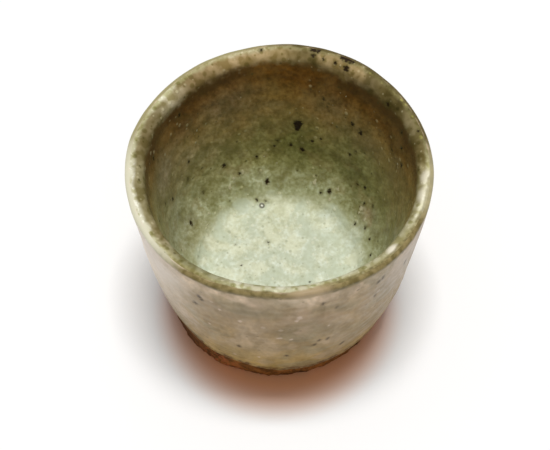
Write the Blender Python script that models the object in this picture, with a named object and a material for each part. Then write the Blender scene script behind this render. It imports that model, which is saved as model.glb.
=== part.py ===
"""Hand-thrown stoneware soba choko: one fired clay body, a glaze lining and an outer glaze coat.

Metres, +Z up. The origin is on the table, on the axis that the cup was thrown on.
"""

import math

import bmesh
import bpy

# Finished outside, measured over the glaze
RIM_RADIUS = 0.0400
CUP_HEIGHT = 0.0618
BELLY_RADIUS = 0.0372
BELLY_HEIGHT = 0.0250
FOOT_RADIUS = 0.0317

# Wall from outside to inside, measured over both coats, and the heights of the cove and the floor
LIP_WALL = 0.0041
COVE_WALL = 0.0067
FLOOR_EDGE_WALL = 0.0112
COVE_HEIGHT = 0.0210
FLOOR_HEIGHT = 0.0085

# How far from its corner each rounding starts, and the level land on top of the lip
LIP_OUTER_ROUND = 0.0010
LIP_LAND = 0.0005
BELLY_ROUND = 0.0160
COVE_ROUND = 0.0044
FLOOR_ROUND = 0.0023

# Turned foot of bare clay
FOOT_BEVEL = 0.0007
FOOT_RING_WIDTH = 0.0065
RECESS_DEPTH = 0.0022
RECESS_SLOPE = 0.0010
RECESS_ROUND = 0.0008

# Glaze coats, each a hairline away from the clay that carries it
GLAZE_THICKNESS = 0.0005
GLAZE_POOL = 0.0010
GLAZE_LINE = 0.0050
GLAZE_BEAD = 0.0003
BEAD_LENGTH = 0.0024
BOND_GAP = 0.0003

# Slant of the outer coat's lower end: how far it rises and falls, the angle of its high side, where it fades
GLAZE_SLANT = 0.0028
GLAZE_HIGH_SIDE = math.radians(-140)
SLANT_TOP = 0.0140

# Foot and inside that lie a little off the throwing axis, and the angle of the side each strays to
FOOT_STRAY = 0.0005
FOOT_STRAY_SIDE = math.radians(180)
INSIDE_STRAY = 0.0005
INSIDE_STRAY_SIDE = math.radians(-30)

# Unevenness of a rim thrown by hand: how far it tilts, rises and swells, and the angle of a crest
RIM_TILT = 0.0003
RIM_TILT_CREST = math.radians(61)
THREE_LOBE_LIFT = 0.0007
THREE_LOBE_CREST = math.radians(42)
FOUR_LOBE_LIFT = 0.00035
FOUR_LOBE_CREST = math.radians(0)
OUT_OF_ROUND = 0.0003
OUT_OF_ROUND_CREST = math.radians(-25)

# Fineness of the turned surfaces
TURN_STEPS = 60
ARC_STEP = math.radians(18)
LEAST_ARC_STEPS = 3
LONG_STEP = 0.0110
BEAD_STEPS = 4
SHARP_EDGE = math.radians(40)

CLAY_COLOUR = (0.105, 0.030, 0.012)
CLAY_ROUGHNESS = 0.85
LINING_COLOUR = (0.360, 0.370, 0.205)
LINING_ROUGHNESS = 0.22
COAT_COLOUR = (0.330, 0.245, 0.165)
COAT_ROUGHNESS = 0.35


def clear_scene():
    for existing in list(bpy.data.objects):
        bpy.data.objects.remove(existing)


def rounded(corners):
    """Path through corners of (radius, height, setback), with a tangent arc that starts a setback away."""
    path = [corners[0][:2]]
    for before, (r, z, setback), after in zip(corners, corners[1:], corners[2:]):
        heading_in = math.atan2(z - before[1], r - before[0])
        heading_out = math.atan2(after[1] - z, after[0] - r)
        turn = math.remainder(heading_out - heading_in, math.tau)
        radius = setback / math.tan(turn / 2)
        centre_r = r - setback * math.cos(heading_in) - radius * math.sin(heading_in)
        centre_z = z - setback * math.sin(heading_in) + radius * math.cos(heading_in)
        steps = max(LEAST_ARC_STEPS, math.ceil(abs(turn) / ARC_STEP)) if setback else 0
        for step in range(steps + 1):
            heading = heading_in + turn * step / max(steps, 1)
            path.append((centre_r + radius * math.sin(heading), centre_z - radius * math.cos(heading)))
    path.append(corners[-1][:2])
    return path


def divided(path, longest):
    """Adds points so that no stretch of the path is longer than this."""
    points = [path[0]]
    for (r0, z0), (r1, z1) in zip(path, path[1:]):
        pieces = math.ceil(math.hypot(r1 - r0, z1 - z0) / longest)
        for piece in range(1, pieces + 1):
            share = piece / pieces
            points.append((r0 + (r1 - r0) * share, z0 + (z1 - z0) * share))
    return points


def offset(path, depths):
    """Moves each point of a path to its right, square to the path, by its own depth."""
    moved = []
    for index, ((r, z), depth) in enumerate(zip(path, depths)):
        r0, z0 = path[max(index - 1, 0)]
        r1, z1 = path[min(index + 1, len(path) - 1)]
        length = math.hypot(r1 - r0, z1 - z0)
        moved.append((r + depth * (z1 - z0) / length, z - depth * (r1 - r0) / length))
    return moved


def outside_radius(height):
    """Radius of the two straight tapers, foot to belly and belly to rim, before they are rounded."""
    if height < BELLY_HEIGHT:
        return FOOT_RADIUS + (BELLY_RADIUS - FOOT_RADIUS) * height / BELLY_HEIGHT
    climb = (height - BELLY_HEIGHT) / (CUP_HEIGHT - BELLY_HEIGHT)
    return BELLY_RADIUS + (RIM_RADIUS - BELLY_RADIUS) * climb


def inside_skin():
    """Finished inside surface, from the middle of the floor up the wall and over the lip."""
    seam_radius = RIM_RADIUS - LIP_OUTER_ROUND - BOND_GAP
    path = rounded([
        (0.0, FLOOR_HEIGHT, 0.0),
        (outside_radius(FLOOR_HEIGHT) - FLOOR_EDGE_WALL, FLOOR_HEIGHT, FLOOR_ROUND),
        (outside_radius(COVE_HEIGHT) - COVE_WALL, COVE_HEIGHT, COVE_ROUND),
        (RIM_RADIUS - LIP_WALL, CUP_HEIGHT, LIP_WALL - LIP_LAND - LIP_OUTER_ROUND),
        (seam_radius, CUP_HEIGHT, 0.0),
    ])
    return divided(path, LONG_STEP)


def outside_skin():
    """Finished outside surface, from the lip over the belly to the end of the glaze."""
    bead_top = GLAZE_LINE + BEAD_LENGTH
    path = rounded([
        (RIM_RADIUS - LIP_WALL, CUP_HEIGHT, 0.0),
        (RIM_RADIUS, CUP_HEIGHT, LIP_OUTER_ROUND),
        (BELLY_RADIUS, BELLY_HEIGHT, BELLY_ROUND),
        (outside_radius(bead_top), bead_top, 0.0),
    ])
    bead = [path[-1], (outside_radius(GLAZE_LINE), GLAZE_LINE)]
    return divided(path[1:], LONG_STEP) + divided(bead, BEAD_LENGTH / BEAD_STEPS)[1:]


def lining_depths(skin):
    """Thickness of the lining: a pool on the floor that thins out up the cove."""
    depths = []
    for _, z in skin:
        climb = min((z - FLOOR_HEIGHT) / (COVE_HEIGHT - FLOOR_HEIGHT), 1.0)
        depths.append(GLAZE_POOL + (GLAZE_THICKNESS - GLAZE_POOL) * climb)
    return depths


def bead_swellings(skin):
    """How far the coat stands proud near its lower end, where it ran and set in a roll."""
    swellings = []
    for _, z in skin:
        share = max(1 - (z - GLAZE_LINE) / BEAD_LENGTH, 0.0)
        swellings.append(GLAZE_BEAD * math.sin(math.pi * share) ** 2)
    return swellings


def slanted_dip(r, z, angle):
    """Slides a point near the coat's lower end along the wall, because the cup was dipped at a slant."""
    depth = outside_radius(z) - r
    if depth > 2 * (GLAZE_THICKNESS + BOND_GAP) or not FOOT_BEVEL < z < SLANT_TOP:
        return r, z
    if z < GLAZE_LINE:
        share = (z - FOOT_BEVEL) / (GLAZE_LINE - FOOT_BEVEL)
    else:
        share = (SLANT_TOP - z) / (SLANT_TOP - GLAZE_LINE)
    slid = z + GLAZE_SLANT * share * math.cos(angle - GLAZE_HIGH_SIDE)
    return outside_radius(slid) - depth, slid


def uneven_rim(r, z, angle):
    """Lifts and swells a point by the waves of a rim thrown by hand, which die out towards the foot."""
    reach = (z / CUP_HEIGHT) ** 2 * r / RIM_RADIUS
    lift = RIM_TILT * math.cos(angle - RIM_TILT_CREST)
    lift += THREE_LOBE_LIFT * math.cos(3 * (angle - THREE_LOBE_CREST))
    lift += FOUR_LOBE_LIFT * math.cos(4 * (angle - FOUR_LOBE_CREST))
    swell = OUT_OF_ROUND * math.cos(3 * (angle - OUT_OF_ROUND_CREST))
    return r + swell * reach, z + lift * reach


def strayed(x, y, amount, side):
    """Moves a point level by this amount, towards the angle of a side."""
    return x + amount * math.cos(side), y + amount * math.sin(side)


def hand_made(x, y, z):
    """Where a point of the true turned shape lies on the cup as it was thrown, trimmed and dipped."""
    angle = math.atan2(y, x)
    r, z = slanted_dip(math.hypot(x, y), z, angle)
    depth_share = min(max((outside_radius(z) - r) / LIP_WALL, 0.0), 1.0)
    inside_stray = INSIDE_STRAY * depth_share * z / CUP_HEIGHT
    foot_stray = FOOT_STRAY * max(1 - z / BELLY_HEIGHT, 0.0) ** 2
    r, z = uneven_rim(r, z, angle)
    x, y = strayed(r * math.cos(angle), r * math.sin(angle), inside_stray, INSIDE_STRAY_SIDE)
    x, y = strayed(x, y, foot_stray, FOOT_STRAY_SIDE)
    return x, y, z


def turned(name, profile, material):
    """Spins a profile of (radius, height) points round the Z axis into one named object."""
    shape = bmesh.new()
    points = [shape.verts.new((r, 0.0, z)) for r, z in profile]
    edges = [shape.edges.new(pair) for pair in zip(points, points[1:])]
    if profile[0][0] > 0:
        edges.append(shape.edges.new((points[-1], points[0])))
    bmesh.ops.spin(
        shape,
        geom=points + edges,
        cent=(0.0, 0.0, 0.0),
        axis=(0.0, 0.0, 1.0),
        angle=math.tau,
        steps=TURN_STEPS,
        use_merge=True,
    )
    bmesh.ops.remove_doubles(shape, verts=shape.verts, dist=BOND_GAP / 100)
    bmesh.ops.recalc_face_normals(shape, faces=shape.faces)
    if shape.calc_volume(signed=True) < 0:
        bmesh.ops.reverse_faces(shape, faces=shape.faces)
    for vertex in shape.verts:
        vertex.co = hand_made(*vertex.co)
    mesh = bpy.data.meshes.new(name)
    shape.to_mesh(mesh)
    shape.free()
    mesh.shade_smooth()
    mesh.set_sharp_from_angle(angle=SHARP_EDGE)
    mesh.materials.append(material)
    piece = bpy.data.objects.new(name, mesh)
    bpy.context.scene.collection.objects.link(piece)


def finish(name, colour, roughness):
    material = bpy.data.materials.new(name)
    material.use_nodes = True
    shader = material.node_tree.nodes["Principled BSDF"]
    shader.inputs["Base Color"].default_value = (*colour, 1.0)
    shader.inputs["Roughness"].default_value = roughness
    shader.inputs["Metallic"].default_value = 0.0
    return material


def make_inner_glaze():
    """Glaze poured inside: it pools on the floor and laps over the lip."""
    skin = inside_skin()
    under = offset(skin, lining_depths(skin))
    turned("inner_glaze", skin + under[::-1], finish("celadon_lining", LINING_COLOUR, LINING_ROUGHNESS))


def make_outer_glaze():
    """Glaze dipped outside: it starts beside the lining and ends above the foot in a rolled bead."""
    skin = outside_skin()
    under = offset(skin, [GLAZE_THICKNESS] * len(skin))
    proud = offset(skin, [-swelling for swelling in bead_swellings(skin)])
    turned("outer_glaze", proud + under[::-1], finish("buff_coat", COAT_COLOUR, COAT_ROUGHNESS))


def make_stoneware_body():
    """Fired clay: the thrown wall and floor, and the foot ring turned from the same lump."""
    inside = inside_skin()
    outside = outside_skin()
    wall = offset(inside, [depth + BOND_GAP for depth in lining_depths(inside)])
    wall += offset(outside, [GLAZE_THICKNESS + BOND_GAP] * len(outside))
    ring_inside = FOOT_RADIUS - FOOT_BEVEL - FOOT_RING_WIDTH
    foot = rounded([
        (FOOT_RADIUS, FOOT_BEVEL, 0.0),
        (FOOT_RADIUS - FOOT_BEVEL, 0.0, 0.0),
        (ring_inside, 0.0, 0.0),
        (ring_inside - RECESS_SLOPE, RECESS_DEPTH, RECESS_ROUND),
        (0.0, RECESS_DEPTH, 0.0),
    ])
    profile = wall + divided(foot, LONG_STEP)
    turned("stoneware_body", profile, finish("bare_clay", CLAY_COLOUR, CLAY_ROUGHNESS))


clear_scene()
make_stoneware_body()
make_inner_glaze()
make_outer_glaze()
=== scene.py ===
# %% [markdown]
# A hand-thrown soba choko
# This lesson dresses a small stoneware cup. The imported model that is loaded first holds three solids: the
# fired clay, the glaze lining poured inside, and the glaze coat that the outside was dipped in. They fix
# where everything is and how big it is. Each one is then modelled again as a fine surface that has the marks
# of the wheel, the dip and the kiln. Starting from a fixed frame keeps the fine meshes true to the sizes.

# %% Load the fixed frame
import math

import bmesh
import bpy
import numpy as np
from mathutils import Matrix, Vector


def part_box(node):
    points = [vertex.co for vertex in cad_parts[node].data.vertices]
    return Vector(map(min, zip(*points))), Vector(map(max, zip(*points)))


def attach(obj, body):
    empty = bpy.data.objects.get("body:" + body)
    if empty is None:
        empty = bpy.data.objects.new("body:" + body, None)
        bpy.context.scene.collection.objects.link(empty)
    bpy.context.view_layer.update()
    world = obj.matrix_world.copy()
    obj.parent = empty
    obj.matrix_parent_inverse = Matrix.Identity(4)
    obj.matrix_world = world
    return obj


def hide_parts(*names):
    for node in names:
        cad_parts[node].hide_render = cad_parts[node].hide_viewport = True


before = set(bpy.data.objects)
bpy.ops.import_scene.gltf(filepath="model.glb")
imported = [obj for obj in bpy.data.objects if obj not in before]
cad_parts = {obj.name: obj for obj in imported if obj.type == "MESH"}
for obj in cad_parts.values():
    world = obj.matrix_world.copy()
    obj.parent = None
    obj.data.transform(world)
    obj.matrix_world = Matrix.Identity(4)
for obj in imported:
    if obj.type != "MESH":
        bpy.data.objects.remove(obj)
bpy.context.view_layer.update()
print("frame nodes:", sorted(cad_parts))

# %% [markdown]
# The camera
# The cup was seen from well above, from about half an arm's length. Such a view can be set by eye, but a few
# measured outlines give it better: the rim's ellipse, the foot and the floor of the cup fix the height, the
# distance and the lens together. The values below come from such a fit, and the image centre is kept as the
# lens axis, so no lens shift is needed.

# %% Camera at the photograph's viewing angle
PHOTO_WIDTH = 550
FOCAL_PIXELS = 1234
SENSOR_WIDTH = 36.0
CAMERA_PLACE = Vector((0.0, -0.1820, 0.3244))
CAMERA_TARGET = Vector((-0.0011, 0.0, 0.0312))
CAMERA_ROLL = math.radians(0.23)

bpy.ops.object.select_all(action="DESELECT")
bpy.ops.object.camera_add(location=CAMERA_PLACE)
camera = bpy.context.object
camera.name = "view_from_above"
camera.data.sensor_width = SENSOR_WIDTH
camera.data.lens = FOCAL_PIXELS * SENSOR_WIDTH / PHOTO_WIDTH
camera.rotation_euler = (CAMERA_TARGET - CAMERA_PLACE).to_track_quat("-Z", "Y").to_euler()
camera.rotation_euler.rotate_axis("Z", CAMERA_ROLL)
bpy.context.scene.camera = camera
bpy.context.scene.view_settings.view_transform = "Standard"
print("lens in mm:", round(camera.data.lens, 1))

# %% [markdown]
# Building node trees
# Every finish below is a small tree of shader nodes. One helper adds a node, sets it up and links its inputs,
# so that each later line reads as one step of a recipe. Writing out every link by hand would work as well,
# but it takes five lines for each node and hides the recipe.

# %% Node helpers
def add_node(tree, kind, inputs=(), **settings):
    """Adds a node, applies its settings, and fills or links its inputs by name or number."""
    made = tree.nodes.new(kind)
    for setting, value in settings.items():
        setattr(made, setting, value)
    for socket, value in dict(inputs).items():
        if isinstance(value, bpy.types.NodeSocket):
            tree.links.new(value, made.inputs[socket])
        else:
            made.inputs[socket].default_value = value
    return made


def calculate(tree, operation, first, second=0.0):
    return add_node(tree, "ShaderNodeMath", {0: first, 1: second}, operation=operation).outputs[0]


def times(tree, first, second):
    """One mask held back by another, or by a number."""
    return calculate(tree, "MULTIPLY", first, second)


def rise(tree, value, low, high, start=0.0, end=1.0):
    """Goes smoothly from start to end while the value goes from low to high."""
    inputs = {"Value": value, "From Min": low, "From Max": high, "To Min": start, "To Max": end}
    return add_node(tree, "ShaderNodeMapRange", inputs, interpolation_type="SMOOTHSTEP").outputs["Result"]


def paint(colour):
    """Gives a plain red, green, blue its alpha, and leaves a socket as it is."""
    return colour if isinstance(colour, bpy.types.NodeSocket) else (*colour, 1.0)


def tint(tree, share, colour, other, way="MIX"):
    """Lays another colour over a colour, as far as the share says."""
    inputs = {0: share, 6: paint(colour), 7: paint(other)}
    return add_node(tree, "ShaderNodeMix", inputs, data_type="RGBA", blend_type=way).outputs[2]


def clouds(tree, place, size, detail=3.0, wobble=0.0):
    """Soft noise with lumps of about this size in metres, mostly between 0.3 and 0.7."""
    inputs = {"Vector": place, "Scale": 1 / size, "Detail": detail, "Distortion": wobble}
    return add_node(tree, "ShaderNodeTexNoise", inputs).outputs["Fac"]


BLOT_SLOPE = math.radians(32)


def slanted(tree, place, stretch):
    """Draws a pattern out along a slope, so that blots on steep walls don't look like hair from above."""
    inputs = {"Vector": place, "Rotation": (BLOT_SLOPE, 0.0, 0.0), "Scale": (1.0, 1.0, stretch)}
    return add_node(tree, "ShaderNodeMapping", inputs, vector_type="TEXTURE").outputs["Vector"]


def object_place(tree):
    return add_node(tree, "ShaderNodeTexCoord").outputs["Object"]


def attribute(tree, name):
    return add_node(tree, "ShaderNodeAttribute", attribute_name=name).outputs["Fac"]


def near(tree, place, target, reach, core=0.0):
    """One within the core around a target, falling softly to nothing at the reach."""
    inputs = {0: place, 1: tuple(target)}
    gap = add_node(tree, "ShaderNodeVectorMath", inputs, operation="DISTANCE").outputs["Value"]
    return rise(tree, gap, reach, core)


def new_material(name):
    """A new material, with its node tree and its shader."""
    material = bpy.data.materials.new(name)
    material.use_nodes = True
    shader = material.node_tree.nodes["Principled BSDF"]
    return material, material.node_tree, shader


# %% [markdown]
# Table and light
# The cup stands on a white table under one large soft light, almost straight above it. The light is a wide
# panel far away, so its shadow is softer to the sides than to the front. A sun lamp with a wide disc is
# simpler, but its shadow is equally soft all round. The world fills the shade with an even grey, and shows as
# white to the camera and in reflections, because the room was white. Around the foot a reddish shadow is
# painted into the table's own colour, reaching furthest at the front.

# %% White table
TABLE_SIZE = 4.0
TABLE_COLOUR = (0.95, 0.95, 0.95)
TABLE_ROUGHNESS = 0.9
PAINTED_SHADOW_TINT = (0.93, 0.45, 0.23)
SHADE_CENTRE = (0.0, -0.009, 0.0)
SHADE_INNER = 0.0245
SHADE_OUTER = 0.0384

bpy.ops.object.select_all(action="DESELECT")
bpy.ops.mesh.primitive_plane_add(size=TABLE_SIZE)
table = bpy.context.object
table.name = "table_top"
table_finish, tree, table_shader = new_material("white_table")
# painted shadow: the table's colour turns dark and reddish around the foot, centred towards the front
painted_warm_shadow = near(tree, object_place(tree), SHADE_CENTRE, SHADE_OUTER, SHADE_INNER)
tree.links.new(tint(tree, painted_warm_shadow, TABLE_COLOUR, PAINTED_SHADOW_TINT), table_shader.inputs["Base Color"])
table_shader.inputs["Roughness"].default_value = TABLE_ROUGHNESS
table_shader.inputs["Specular IOR Level"].default_value = 0.0
table.data.materials.append(table_finish)
print("table in m:", TABLE_SIZE)

# %% Overhead panel
PANEL_LIGHT = 2.3
PANEL_DISTANCE = 12.0
PANEL_ANGLES = (math.radians(19), math.radians(9.5))
PANEL_TILT = (math.radians(-3), math.radians(1))

bpy.ops.object.light_add(type="AREA", rotation=(*PANEL_TILT, 0.0))
lamp = bpy.context.object
lamp.name = "overhead_panel"
lamp.location = lamp.rotation_euler.to_matrix() @ Vector((0.0, 0.0, PANEL_DISTANCE))
lamp.data.shape = "RECTANGLE"
lamp.data.size, lamp.data.size_y = (2 * PANEL_DISTANCE * math.tan(angle / 2) for angle in PANEL_ANGLES)
lamp.data.energy = PANEL_LIGHT * math.pi * PANEL_DISTANCE ** 2
print("light panel in m:", round(lamp.data.size, 2), "by", round(lamp.data.size_y, 2))

# %% White room
FILL_LEVEL = 0.37

world = bpy.data.worlds.new("white_room")
world.use_nodes = True
bpy.context.scene.world = world
room = world.node_tree
room.nodes.clear()
ray = add_node(room, "ShaderNodeLightPath").outputs
seen = calculate(room, "MAXIMUM", ray["Is Camera Ray"], ray["Is Glossy Ray"])
seen = calculate(room, "MAXIMUM", seen, ray["Is Transmission Ray"])
level = add_node(room, "ShaderNodeMapRange", {"Value": seen, "To Min": FILL_LEVEL}).outputs["Result"]
glow = add_node(room, "ShaderNodeBackground", {"Color": (1.0, 1.0, 1.0, 1.0), "Strength": level})
add_node(room, "ShaderNodeOutputWorld", {"Surface": glow.outputs["Background"]})
print("fill level:", FILL_LEVEL)

# %% [markdown]
# Sizes of the cup
# A thrown cup is a turned shape, so a few radii and heights describe it. They are those of the solids in the
# frame. Each corner has a setback, which is how far from the corner its rounding starts. The box of the frame
# shows whether these sizes still fit it.

# %% Driving dimensions
RIM_RADIUS = 0.0400
CUP_HEIGHT = 0.0618
BELLY_RADIUS = 0.0372
BELLY_HEIGHT = 0.0250
BELLY_ROUND = 0.0160
FOOT_RADIUS = 0.0317
LIP_WALL = 0.0041
LIP_OUTER_ROUND = 0.0010
LIP_INNER_ROUND = 0.0026
SEAM_LAND = 0.0002
COVE_WALL = 0.0067
COVE_HEIGHT = 0.0210
COVE_ROUND = 0.0044
FLOOR_EDGE_WALL = 0.0112
FLOOR_HEIGHT = 0.0085
FLOOR_ROUND = 0.0023
GLAZE_LINE = 0.0050
GLAZE_THICKNESS = 0.0005
GLAZE_POOL = 0.0010
CLAY_DEPTH = 0.0008


def outside_radius(height):
    """Radius of the tapers from foot to belly and from belly to rim, at one height or many."""
    lower = FOOT_RADIUS + (BELLY_RADIUS - FOOT_RADIUS) * height / BELLY_HEIGHT
    climb = (height - BELLY_HEIGHT) / (CUP_HEIGHT - BELLY_HEIGHT)
    return np.where(height < BELLY_HEIGHT, lower, BELLY_RADIUS + (RIM_RADIUS - BELLY_RADIUS) * climb)


COVE_RADIUS = float(outside_radius(COVE_HEIGHT)) - COVE_WALL
FLOOR_RADIUS = float(outside_radius(FLOOR_HEIGHT)) - FLOOR_EDGE_WALL
SEAM_RADIUS = RIM_RADIUS - LIP_OUTER_ROUND - SEAM_LAND
rim_corner = [round(1000 * side, 1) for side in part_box("outer_glaze")[1]]
print("rim in the frame, mm:", rim_corner, "here:", 1000 * RIM_RADIUS)

# %% [markdown]
# Drawing a profile and turning it
# The potter shapes a cup by turning it, and the mesh is made the same way: half of its cross-section is drawn
# as a line, and the line is turned about the axis. The line starts as a small plane merged to one vertex. The
# vertex is extruded from corner to corner, each corner is bevelled, and long edges are subdivided until the
# surface is fine enough to carry dents. A stack of scaled circles would also work, but it makes the roundings
# of the lip and the cove harder to control.

# %% Start a profile and pick its points
TOUCH = 1e-6


def start_profile(name, radius, height):
    """A mesh of one selected vertex, left in edit mode."""
    bpy.ops.object.select_all(action="DESELECT")
    bpy.ops.mesh.primitive_plane_add(size=CUP_HEIGHT)
    piece = bpy.context.object
    piece.name = name
    bpy.ops.object.mode_set(mode="EDIT")
    bpy.ops.mesh.select_mode(type="VERT")
    bpy.ops.mesh.merge(type="CENTER")
    bpy.ops.transform.translate(value=(radius, 0.0, height))
    return piece


def select_at(piece, *points):
    """Selects the vertices of the profile that lie at these points of (radius, height)."""
    places = [Vector((radius, 0.0, height)) for radius, height in points]
    profile = bmesh.from_edit_mesh(piece.data)
    for vertex in profile.verts:
        vertex.select_set(any((vertex.co - place).length < TOUCH for place in places))
    profile.select_flush_mode()
    bmesh.update_edit_mesh(piece.data)


# %% Draw, divide and turn a profile
TURN_STEPS = 400
SHARP_EDGE = math.radians(50)


def draw_line(piece, corners, segments):
    """Extrudes from the first corner to the last, then rounds those with a setback in this many segments."""
    select_at(piece, corners[0][:2])
    for (r0, z0, _), (r1, z1, _) in zip(corners, corners[1:]):
        bpy.ops.mesh.extrude_vertices_move(TRANSFORM_OT_translate={"value": (r1 - r0, 0.0, z1 - z0)})
    for radius, height, setback in corners:
        if setback:
            select_at(piece, (radius, height))
            bpy.ops.mesh.bevel(affect="VERTICES", offset=setback, segments=segments)


def subdivide_edges(piece, longest, low=-1.0, high=1.0):
    """Cuts the edges between two heights into equal parts, so that none there is longer than this."""
    while True:
        profile = bmesh.from_edit_mesh(piece.data)
        cuts = {}
        for edge in profile.edges:
            middle = (edge.verts[0].co.z + edge.verts[1].co.z) / 2
            cuts[edge] = math.ceil(edge.calc_length() / longest) - 1 if low <= middle <= high else 0
        most = max(cuts.values())
        if most == 0:
            return
        bpy.ops.mesh.select_all(action="DESELECT")
        for edge, count in cuts.items():
            if count == most:
                edge.select_set(True)
        bmesh.update_edit_mesh(piece.data)
        bpy.ops.mesh.subdivide(number_cuts=most)


def turn_profile(piece):
    """Turns the drawn line about the Z axis into a closed surface, shaded smooth."""
    bpy.ops.object.mode_set(mode="OBJECT")
    turning = piece.modifiers.new("turning", "SCREW")
    turning.steps = TURN_STEPS
    turning.render_steps = TURN_STEPS
    turning.use_merge_vertices = True
    turning.merge_threshold = TOUCH
    bpy.ops.object.modifier_apply(modifier=turning.name)
    bpy.ops.object.mode_set(mode="EDIT")
    bpy.ops.mesh.select_all(action="SELECT")
    bpy.ops.mesh.remove_doubles(threshold=TOUCH)
    bpy.ops.mesh.normals_make_consistent(inside=False)
    bpy.ops.object.mode_set(mode="OBJECT")
    bpy.ops.object.shade_smooth_by_angle(angle=SHARP_EDGE)
    print(piece.name, "has", len(piece.data.vertices), "vertices")


# %% [markdown]
# Points as arrays
# Tens of thousands of vertices have to be nudged, so they are read into an array, moved all at once and
# written back. Sculpting by hand would give such dents too, but an array gives the same result each time.
# Two attributes keep each vertex's height and radius from before it is nudged, so that a colour that belongs
# to the lip or to the floor stays there.

# %% Read, write and mark points
def read_points(piece):
    points = np.empty(3 * len(piece.data.vertices))
    piece.data.vertices.foreach_get("co", points)
    return points.reshape(-1, 3)


def write_points(piece, points):
    piece.data.vertices.foreach_set("co", points.ravel())
    piece.data.update()


def write_attribute(piece, name, values):
    piece.data.attributes.new(name, "FLOAT", "POINT").data.foreach_set("value", values)


def keep_turned_place(piece):
    x, y, z = read_points(piece).T
    write_attribute(piece, "turned_height", z)
    write_attribute(piece, "turned_radius", np.hypot(x, y))


def measures(piece):
    """Width, depth and height in mm."""
    points = read_points(piece)
    return [round(float(1000 * side), 1) for side in points.max(0) - points.min(0)]


# %% [markdown]
# The three shapes as they came off the wheel
# The lining is drawn from the middle of the floor up the wall and over the lip, then back along its
# underside. The coat is drawn from the same seam on the lip down to its end above the foot. The clay fills
# what is between them and ends in a turned foot ring with a shallow recess. The seam lies on top of the lip,
# where the two glazes really meet, and both pieces have a vertex at each of its points.

# %% Glaze lining
LINING_STEP = 0.0004
FLOOR_STEP = 0.0008
SKIN_SEGMENTS = 10
UNDER_SEGMENTS = 4

under_floor = FLOOR_HEIGHT - GLAZE_POOL
under_lip = CUP_HEIGHT - GLAZE_THICKNESS
lining = start_profile("glaze_lining", 0.0, FLOOR_HEIGHT)
draw_line(lining, [
    (0.0, FLOOR_HEIGHT, 0.0),
    (FLOOR_RADIUS, FLOOR_HEIGHT, FLOOR_ROUND),
    (COVE_RADIUS, COVE_HEIGHT, COVE_ROUND),
    (RIM_RADIUS - LIP_WALL, CUP_HEIGHT, LIP_INNER_ROUND),
    (SEAM_RADIUS, CUP_HEIGHT, 0.0),
], SKIN_SEGMENTS)
subdivide_edges(lining, FLOOR_STEP)
subdivide_edges(lining, LINING_STEP, low=FLOOR_HEIGHT + LINING_STEP)
draw_line(lining, [
    (SEAM_RADIUS, CUP_HEIGHT, 0.0),
    (SEAM_RADIUS, under_lip, 0.0),
    (RIM_RADIUS - LIP_WALL + GLAZE_THICKNESS, under_lip, LIP_INNER_ROUND - GLAZE_THICKNESS),
    (COVE_RADIUS + GLAZE_THICKNESS, COVE_HEIGHT - GLAZE_THICKNESS, COVE_ROUND),
    (FLOOR_RADIUS + GLAZE_THICKNESS, under_floor, FLOOR_ROUND),
    (0.0, under_floor, 0.0),
], UNDER_SEGMENTS)
turn_profile(lining)
keep_turned_place(lining)
print("lining in mm:", measures(lining))

# %% Outer coat
COAT_STEP = 0.0004
COAT_END_ROUND = 0.0003

coat_end = float(outside_radius(GLAZE_LINE))
coat = start_profile("glaze_coat", SEAM_RADIUS, CUP_HEIGHT)
draw_line(coat, [
    (SEAM_RADIUS, CUP_HEIGHT, 0.0),
    (RIM_RADIUS, CUP_HEIGHT, LIP_OUTER_ROUND),
    (BELLY_RADIUS, BELLY_HEIGHT, BELLY_ROUND),
    (coat_end, GLAZE_LINE, COAT_END_ROUND),
    (coat_end - GLAZE_THICKNESS, GLAZE_LINE, 0.0),
], SKIN_SEGMENTS)
subdivide_edges(coat, COAT_STEP)
draw_line(coat, [
    (coat_end - GLAZE_THICKNESS, GLAZE_LINE, 0.0),
    (BELLY_RADIUS - GLAZE_THICKNESS, BELLY_HEIGHT, BELLY_ROUND),
    (RIM_RADIUS - GLAZE_THICKNESS, under_lip, LIP_OUTER_ROUND - GLAZE_THICKNESS),
    (SEAM_RADIUS, under_lip, 0.0),
], UNDER_SEGMENTS)
select_at(coat, (SEAM_RADIUS, under_lip), (SEAM_RADIUS, CUP_HEIGHT))
bpy.ops.mesh.edge_face_add()
turn_profile(coat)
keep_turned_place(coat)
print("coat in mm:", measures(coat))

# %% Clay body
FOOT_BEVEL = 0.0007
FOOT_RING_WIDTH = 0.0065
RECESS_DEPTH = 0.0022
RECESS_SLOPE = 0.0010
RECESS_ROUND = 0.0008
BARE_STEP = 0.0003
HIDDEN_STEP = 0.0060

clay_floor = under_floor - CLAY_DEPTH + GLAZE_THICKNESS
clay_lip = CUP_HEIGHT - CLAY_DEPTH
ring_inside = FOOT_RADIUS - FOOT_BEVEL - FOOT_RING_WIDTH
clay = start_profile("clay_body", 0.0, clay_floor)
draw_line(clay, [
    (0.0, clay_floor, 0.0),
    (FLOOR_RADIUS + CLAY_DEPTH, clay_floor, FLOOR_ROUND),
    (COVE_RADIUS + CLAY_DEPTH, COVE_HEIGHT - CLAY_DEPTH, COVE_ROUND),
    (RIM_RADIUS - LIP_WALL + CLAY_DEPTH, clay_lip, LIP_INNER_ROUND - CLAY_DEPTH),
    (RIM_RADIUS - CLAY_DEPTH, clay_lip, LIP_OUTER_ROUND - CLAY_DEPTH),
    (BELLY_RADIUS - CLAY_DEPTH, BELLY_HEIGHT, BELLY_ROUND),
    (coat_end - CLAY_DEPTH, GLAZE_LINE, 0.0),
], UNDER_SEGMENTS)
subdivide_edges(clay, HIDDEN_STEP)
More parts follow.
